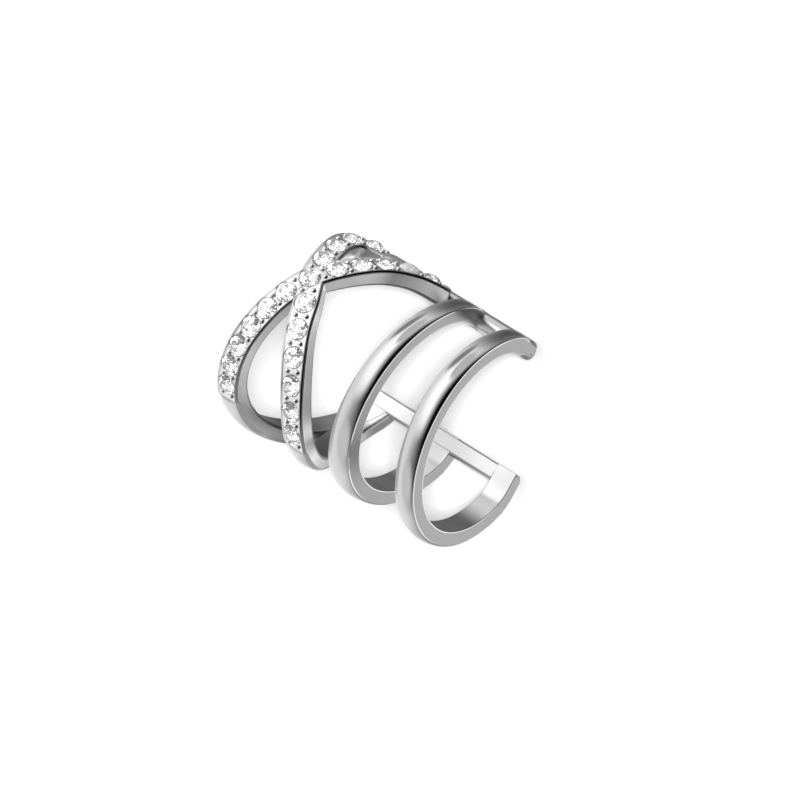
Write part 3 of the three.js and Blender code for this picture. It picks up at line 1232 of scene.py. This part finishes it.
@dataclass
class UpperRail:
    """The round rod along the upper free end, drilled where stones sit over it."""

    angle: float = 49.6
    radius: float = 4.965
    half: float = 0.485
    start: float = 0.45
    stop: float = 6.75
    fillet: float = 0.12
    stations: int = 40
    seats: tuple[np.ndarray, ...] = ()
    seat_radius: float = 0.56
    seat_depth: float = 0.62
    seat_slope: float = 5.0

    def _drilled(self, points: np.ndarray) -> np.ndarray:
        """The rod's points held under the stones' seats.

        In each seat's frame a point is no higher than minus the seat's depth within its radius, and
        a steep cone outside it.

        Args:
            points: the rod's grid of points.

        Returns:
            The same grid, with the points in a seat's way moved straight into the shell.
        """
        for seat in self.seats:
            local = (points - seat[:3, 3]) @ seat[:3, :3]
            off = np.hypot(local[..., 0], local[..., 1])
            limit = self.seat_slope * np.maximum(off - self.seat_radius, 0.0) - self.seat_depth
            lower = np.minimum(limit - local[..., 2], 0.0) * (off < 2 * self.seat_radius)
            points = points + lower[..., None] * seat[:3, 2]
        return points

    def draft(self) -> MeshDraft:
        """The rod: circles along the axis that shrink over a rounded cap at its far end.

        Its finish is a little uneven round it, which paints fine lighter and darker streaks of reflection
        along it.

        Returns:
            The rod's draft.
        """
        bend = np.linspace(0.0, math.pi / 2, 7)[1:]
        straight = np.linspace(self.start, self.stop - self.fillet, self.stations)
        along = np.concatenate([straight, self.stop - self.fillet + self.fillet * np.sin(bend)])
        cap = self.half - self.fillet * (1.0 - np.cos(bend))
        half = np.concatenate([np.full(self.stations, self.half), cap])[:, None]
        turn = np.linspace(0.0, 2 * math.pi, 64, endpoint=False)
        centre = on_shell(self.radius, self.angle, 0.0)
        x, z = centre[0] + half * np.cos(turn), centre[2] + half * np.sin(turn)
        points = np.stack(np.broadcast_arrays(x, along[:, None], z), axis=-1)
        # Painted reflection: streaks round the rod between a grey and nearly white.
        painted_streaks = 1.7 + 0.3 * np.sin(turn * 9.0 + 1.2 * np.sin(turn * 2.0))
        made = MeshDraft()
        made.add_grid(self._drilled(points), np.broadcast_to(painted_streaks, points.shape[:2]))
        return made


@dataclass
class LowerRail:
    """The bar along the lower free end: flat inside, its outer free corner well rounded."""

    shell: Shell = field(default_factory=Shell)
    free_end: float = -0.55
    window_edge: float = -1.48
    proud: float = 0.004
    corner: float = 0.42
    fillet: float = 0.05
    window_round: float = 0.17
    # The window's edge is painted grey, between satin and frosted.
    window_finish: float = 1.35
    start: float = 1.13
    stop: float = 9.1
    end_fillet: float = 0.01
    stations: int = 40
    corner_steps: int = 8

    def _section(self) -> tuple[np.ndarray, np.ndarray]:
        """The bar's section: a rectangle with round corners, and a point near each end of its inside.

        Returns:
            Rows of outward and round-way lengths, and the finish at each: polished outside, satin at the
            corner by the free end, painted as a darker line, frosted inside, painted nearly white, and in
            between at the window's edge, a painted grey strip.
        """
        inside = self.shell.lower_inside - self.proud
        outside = self.shell.lower_outside - 5 * self.proud
        # The free end's corner is satin, painted as a darker line.
        corners = (
            (outside, self.window_edge, self.fillet, 0.0, POLISHED),
            (outside, self.free_end, self.corner, 90.0, POLISHED),
            (inside, self.free_end, self.fillet, 180.0, SATIN_PAINTED_DARKER),
            (inside, self.window_edge, self.window_round, 270.0, self.window_finish),
        )
        rows, finish = [], []
        for out, along, size, turned, look in corners:
            turn = np.radians(np.linspace(turned - 90.0, turned, self.corner_steps))
            middle_out = out - size if out == outside else out + size
            middle_along = along + size if along == self.window_edge else along - size
            rows.append(
                np.stack([middle_out + size * np.cos(turn), middle_along + size * np.sin(turn)], axis=1)
            )
            finish.append(np.full(self.corner_steps, look))
        # The flat inside is frosted, painted nearly white.
        flat = rows[2][-1] + np.array([[0.06], [0.94]]) * (rows[3][0] - rows[2][-1])
        rows.insert(3, flat)
        finish.insert(3, np.full(len(flat), FROSTED_PAINTED_LIGHTER))
        return np.concatenate(rows), np.concatenate(finish)

    def _lengthways(self) -> tuple[np.ndarray, np.ndarray]:
        """The places of the sections along the bar, close together over the fillet at both ends.

        Returns:
            How far along the axis each section lies, and how far its outline is drawn in.
        """
        bend = np.linspace(0.0, math.pi / 2, 6)
        drawn, past = self.end_fillet * (1.0 - np.sin(bend)), self.end_fillet * (1.0 - np.cos(bend))
        first, last = self.start + self.end_fillet, self.stop - self.end_fillet
        straight = np.linspace(first, last, self.stations)[1:-1]
        along = np.concatenate([self.start + past, straight, self.stop - past[::-1]])
        return along, np.concatenate([drawn, np.zeros(len(straight)), drawn[::-1]])

    def draft(self) -> MeshDraft:
        """The bar: its section carried along the axis, and drawn towards its middle at both ends.

        Returns:
            The bar's draft.
        """
        section, finish = self._section()
        along, draw = self._lengthways()
        away = section - section.mean(axis=0)
        away /= np.linalg.norm(away, axis=1, keepdims=True)
        rows = section[None] - draw[:, None, None] * away[None]
        facing = math.radians(self.shell.lower_facing)
        out = np.array([math.cos(facing), math.sin(facing)])
        round_way = np.array([-out[1], out[0]])
        plane = rows[..., :1] * out + rows[..., 1:] * round_way
        depth = np.broadcast_to(along[:, None], plane.shape[:2])
        points = np.stack([plane[..., 0], depth, plane[..., 1]], axis=-1)
        made = MeshDraft()
        made.add_grid(points, np.broadcast_to(finish, depth.shape))
        return made


@dataclass
class StoneCross:
    """The two stone-set strands with their beads and stones."""

    dresser: Dresser
    outer: StoneSetStrand
    inner: StoneSetStrand
    beads: BeadProngs = BeadProngs()
    cut: Brilliant = Brilliant()
    stone_depth: float = 0.02

    def build(self) -> None:
        """Makes the strands, the beads as one piece, and every stone as its own piece."""
        strands = (self.outer, self.inner)
        relief = SettingRelief(strands)
        crossing = self.outer.route.at(np.array([self.outer.crossing]))[0]
        relief.centres = np.vstack([relief.centres, crossing])
        for strand in strands:
            self.dresser.finish(strand.draft(relief), strand.name, METAL_NODE, Slot.SILVER)
        made = MeshDraft()
        for strand in strands:
            for run in strand.runs:
                for reach in strand.crossing + run.beads():
                    for side in (-self.beads.across, self.beads.across):
                        self.beads.add(made, strand.frame_at(reach, side, self.beads.sunk))
        self.dresser.finish(made, "bead_prongs", METAL_NODE, Slot.SILVER)
        self._stone("crossing", self.outer, 0.0)
        for strand in strands:
            for run in strand.runs:
                for number, distance in enumerate(run.centres(), start=1):
                    self._stone(f"{run.name}_{number}", strand, float(distance))

    def _stone(self, label: str, strand: StoneSetStrand, distance: float) -> None:
        """Makes one stone, whose facets are shaded flat.

        Args:
            label: the end of its piece's and its node's name.
            strand: the strand that it sits on.
            distance: how far from the crossing it sits along the strand.
        """
        stone = self.cut.draft(strand.frame_at(strand.crossing + distance, 0.0, self.stone_depth))
        self.dresser.finish(stone, "brilliant_" + label, "stone_" + label, Slot.STONE, smooth=False)


@dataclass(frozen=True)
class SkyPatch:
    """A round patch of sky of one brightness, even up to the inner angle and gone at the outer one.

    All angles are in degrees. The azimuth is counted from x towards y.
    """

    azimuth: float
    elevation: float
    inner: float
    outer: float
    level: float

    def direction(self) -> tuple[float, float, float]:
        """The unit direction of its middle."""
        turn, lift = math.radians(self.azimuth), math.radians(self.elevation)
        return math.cos(lift) * math.cos(turn), math.cos(lift) * math.sin(turn), math.sin(lift)


@dataclass
class Studio:
    """The floor, the lights and the camera at the photograph's angle, rolled as it was held.

    The metal mirrors a pale sky, with darker and brighter patches laid over it in turn. The floor
    and both lamps are hidden from mirror rays.
    """

    place: Matrix
    azimuth: float = 48.06
    elevation: float = 42.34
    roll: float = -116.82
    distance: float = 0.34
    pixels_per_millimetre: float = 20.43
    image_width: float = 800.0
    shift_right: float = -4.185
    shift_up: float = 2.075
    floor_size: float = 2.0
    floor_tone: float = 0.9
    floor_light: float = 3.8
    floor_light_angle: float = 12.0
    stone_light: float = 3.0
    stone_light_size: float = 0.26
    stone_light_share: float = 0.8
    sky: float = 1.08
    patches: tuple[SkyPatch, ...] = (
        SkyPatch(-97.0, 39.0, 15.0, 100.0, 0.13),
        SkyPatch(14.0, 30.0, 15.0, 55.0, 1.65),
        SkyPatch(-70.0, 13.0, 48.0, 80.0, 0.0),
        SkyPatch(28.0, -77.0, 23.0, 62.0, 0.22),
        SkyPatch(110.0, 1.0, 20.0, 29.0, 0.63),
        SkyPatch(48.0, -14.0, 8.0, 20.0, 0.34),
        SkyPatch(-147.0, -31.0, 44.0, 64.0, 0.6),
        SkyPatch(10.0, -2.0, 14.0, 22.0, 0.74),
        SkyPatch(-77.0, -28.0, 5.0, 45.0, 0.05),
        SkyPatch(160.0, 52.0, 9.0, 27.0, 0.85),
        SkyPatch(-138.0, -47.0, 9.0, 19.0, 1.75),
    )

    def build(self) -> None:
        """Makes the camera, the floor and the lights."""
        self._camera()
        self._floor()
        self._world()
        self._floor_light()
        self._stone_light()

    def _axes(self) -> tuple[Vector, Vector, Vector]:
        """The camera's directions.

        Returns:
            Its right, its up, and its backward direction, away from the cuff.
        """
        turn, lift, roll = (math.radians(a) for a in (self.azimuth, self.elevation, self.roll))
        back = Vector((math.sin(turn) * math.cos(lift), -math.cos(turn) * math.cos(lift), math.sin(lift)))
        level = Vector((math.cos(turn), math.sin(turn), 0.0))
        upright = back.cross(level)
        right = math.cos(roll) * level + math.sin(roll) * upright
        return right, back.cross(right), back

    def _camera(self) -> None:
        """A long lens, so far off that the scale in the picture is pixels_per_millimetre."""
        right, up, back = self._axes()
        target = self.place.translation + (self.shift_right * right + self.shift_up * up) * MILLIMETRE
        data = bpy.data.cameras.new("camera")
        focal_pixels = self.pixels_per_millimetre * self.distance / MILLIMETRE
        data.lens = focal_pixels * data.sensor_width / self.image_width
        data.clip_start, data.clip_end = 0.01, 10.0
        camera = bpy.data.objects.new("camera", data)
        turned = Matrix((right, up, back)).transposed().to_4x4()
        camera.matrix_world = Matrix.Translation(target + back * self.distance) @ turned
        bpy.context.scene.collection.objects.link(camera)
        bpy.context.scene.camera = camera

    def _floor(self) -> None:
        """A wide pale matt floor just under the rails."""
        half = self.floor_size / 2
        mesh = bpy.data.meshes.new("floor")
        corners = [(-half, -half, 0.0), (half, -half, 0.0), (half, half, 0.0), (-half, half, 0.0)]
        mesh.from_pydata(corners, [], [(0, 1, 2, 3)])
        floor = bpy.data.objects.new("floor", mesh)
        paint = bpy.data.materials.new("pale_floor")
        paint.use_nodes = True
        shader = paint.node_tree.nodes["Principled BSDF"]
        shader.inputs["Base Color"].default_value = (self.floor_tone,) * 3 + (1.0,)
        shader.inputs["Roughness"].default_value = 0.9
        mesh.materials.append(paint)
        bpy.context.scene.collection.objects.link(floor)
        floor.visible_glossy = False

    def _world(self) -> None:
        """A pale sky with each patch laid over it in turn, by the angle from the patch's middle."""
        world = bpy.data.worlds.new("studio")
        world.use_nodes = True
        nodes, links = world.node_tree.nodes, world.node_tree.links
        background = nodes["Background"]
        background.inputs["Color"].default_value = (1.0, 1.0, 1.0, 1.0)
        way = nodes.new("ShaderNodeTexCoord")
        level = None
        for patch in self.patches:
            off = nodes.new("ShaderNodeVectorMath")
            off.operation = "DOT_PRODUCT"
            off.inputs[1].default_value = patch.direction()
            links.new(way.outputs["Generated"], off.inputs[0])
            mask = nodes.new("ShaderNodeMapRange")
            mask.interpolation_type = "SMOOTHSTEP"
            mask.inputs["From Min"].default_value = math.cos(math.radians(patch.outer))
            mask.inputs["From Max"].default_value = math.cos(math.radians(patch.inner))
            links.new(off.outputs["Value"], mask.inputs["Value"])
            laid = nodes.new("ShaderNodeMix")
            laid.inputs["A"].default_value = self.sky
            laid.inputs["B"].default_value = patch.level
            links.new(mask.outputs["Result"], laid.inputs["Factor"])
            if level is not None:
                links.new(level, laid.inputs["A"])
            level = laid.outputs["Result"]
        links.new(level, background.inputs["Strength"])
        bpy.context.scene.world = world

    def _floor_light(self) -> None:
        """A soft sun from the camera's side that lights the floor, and isn't mirrored in the metal."""
        data = bpy.data.lights.new("floor_light", "SUN")
        data.energy = self.floor_light
        data.angle = math.radians(self.floor_light_angle)
        lamp = bpy.data.objects.new("floor_light", data)
        lamp.rotation_mode = "QUATERNION"
        lamp.rotation_quaternion = (-self._axes()[2]).to_track_quat("-Z", "Y")
        lamp.visible_glossy = False
        bpy.context.scene.collection.objects.link(lamp)

    def _stone_light(self) -> None:
        """A wide softbox round the camera that shows through the stones alone, and lights them up."""
        data = bpy.data.lights.new("stone_light", "AREA")
        data.size = self.stone_light_size
        data.energy = self.stone_light * math.pi * self.stone_light_size**2
        lamp = bpy.data.objects.new("stone_light", data)
        back = self._axes()[2]
        lamp.location = back * self.distance * self.stone_light_share
        lamp.rotation_mode = "QUATERNION"
        lamp.rotation_quaternion = (-back).to_track_quat("-Z", "Y")
        lamp.visible_camera = False
        lamp.visible_glossy = False
        lamp.visible_diffuse = False
        bpy.context.scene.collection.objects.link(lamp)


# Each strand's knots: the angle round the axis in degrees, and the length along it in millimetres.
OUTER_KNOTS = (
    (53, 6.1), (58, 6.5), (67, 7.4), (78, 8.35), (96, 9.4), (113, 10.4), (126, 10.88), (138, 11.25),
    (162, 11.83), (188, 12.1), (216, 11.95), (245, 11.3), (275, 10.05), (290, 9.3), (304, 8.6),
)
INNER_KNOTS = (
    (66, 7.3), (64.6, 8.4), (65.2, 9.7), (69, 10.7), (78, 11.08), (94, 10.82), (113, 10.3), (125, 9.66),
    (137, 9.22), (163, 8.2), (188, 7.72), (216, 7.8), (245, 8.5), (270, 9.1), (289, 9.05), (304, 8.5),
)


def main() -> None:
    """Builds the cuff's sub-assemblies in order, then the studio round them."""
    logging.basicConfig(level=logging.INFO, format="%(name)s: %(message)s")
    place = RestPose().matrix()
    materials = {Slot.SILVER: PolishedSilver().material(), Slot.STONE: ClearStone().material()}
    dresser = Dresser(place, materials)
    bands = (
        PlainBand(
            "front_band", near=0.0, fan=0.37, width=1.15, top_width=0.92, foot_width=1.2, lobe_fillet=0.26
        ),
        PlainBand(
            "second_band", near=3.79, fan=-0.24, width=1.1, top_width=0.98, foot_width=1.45, lobe_painted_light=0.9
        ),
    )
    for band in bands:
        dresser.finish(band.draft(), band.name, METAL_NODE, Slot.SILVER)
    dresser.finish(LowerRail().draft(), "lower_rail", METAL_NODE, Slot.SILVER)
    radius = Shell().strand_radius
    outer = StoneSetStrand(
        "outer_strand",
        StrandRoute(OUTER_KNOTS, radius),
        width=1.34,
        sunk=0.0,
        runs=(StoneRun("outer_upper", -1.45, -1.25, 5), StoneRun("outer_lower", 1.38, 1.25, 6)),
    )
    inner = StoneSetStrand(
        "inner_strand",
        StrandRoute(INNER_KNOTS, radius),
        width=1.42,
        sunk=0.015,
        runs=(StoneRun("inner_upper", -1.45, -1.25, 4), StoneRun("inner_lower", 1.4, 1.42, 6)),
    )
    over_rail = outer.crossing + outer.runs[0].centres()
    seats = tuple(outer.frame_at(float(reach), 0.0, StoneCross.stone_depth) for reach in over_rail)
    dresser.finish(UpperRail(seats=seats).draft(), "upper_rail", METAL_NODE, Slot.SILVER)
    StoneCross(dresser, outer, inner).build()
    Studio(place).build()
    bpy.context.scene.view_settings.view_transform = "Standard"


if __name__ == "__main__":
    main()
